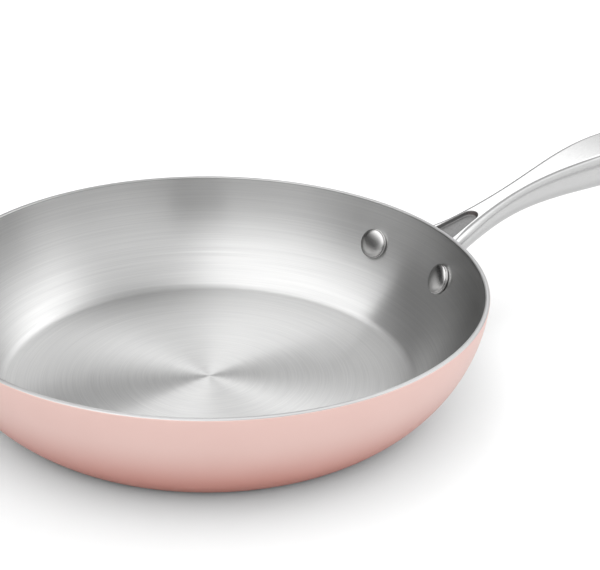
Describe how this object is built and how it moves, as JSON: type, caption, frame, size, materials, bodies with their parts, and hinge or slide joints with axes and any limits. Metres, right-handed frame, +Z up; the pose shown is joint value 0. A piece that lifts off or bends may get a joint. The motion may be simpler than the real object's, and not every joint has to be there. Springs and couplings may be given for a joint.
{
  "type": "frying pan",
  "caption": "Round frying pan with a layered metal body, flat base, curved sides and a long riveted metal handle that ends in a hanging slot.",
  "frame": {"origin": "centre of the flat underside of the pan", "axes": "+Z up out of the pan's mouth, +X along the handle, away from the pan"},
  "size_m": [0.4299, 0.24, 0.0679],
  "materials": {
    "rose_coating": "smooth satin coating",
    "aluminium_core": "plain, seen only at the rim's edge",
    "brushed_inside": "concentric brushing",
    "cast_handle": "satin polish, matte in the recess",
    "polished_rivet": "mirror polish"
  },
  "bodies": {
    "root": {"outer_steel_skin": "rose_coating", "aluminium_core": "aluminium_core", "inner_steel_skin": "brushed_inside", "handle": "cast_handle", "rivet_left": "polished_rivet", "rivet_right": "polished_rivet"}
  },
  "joints": []
}
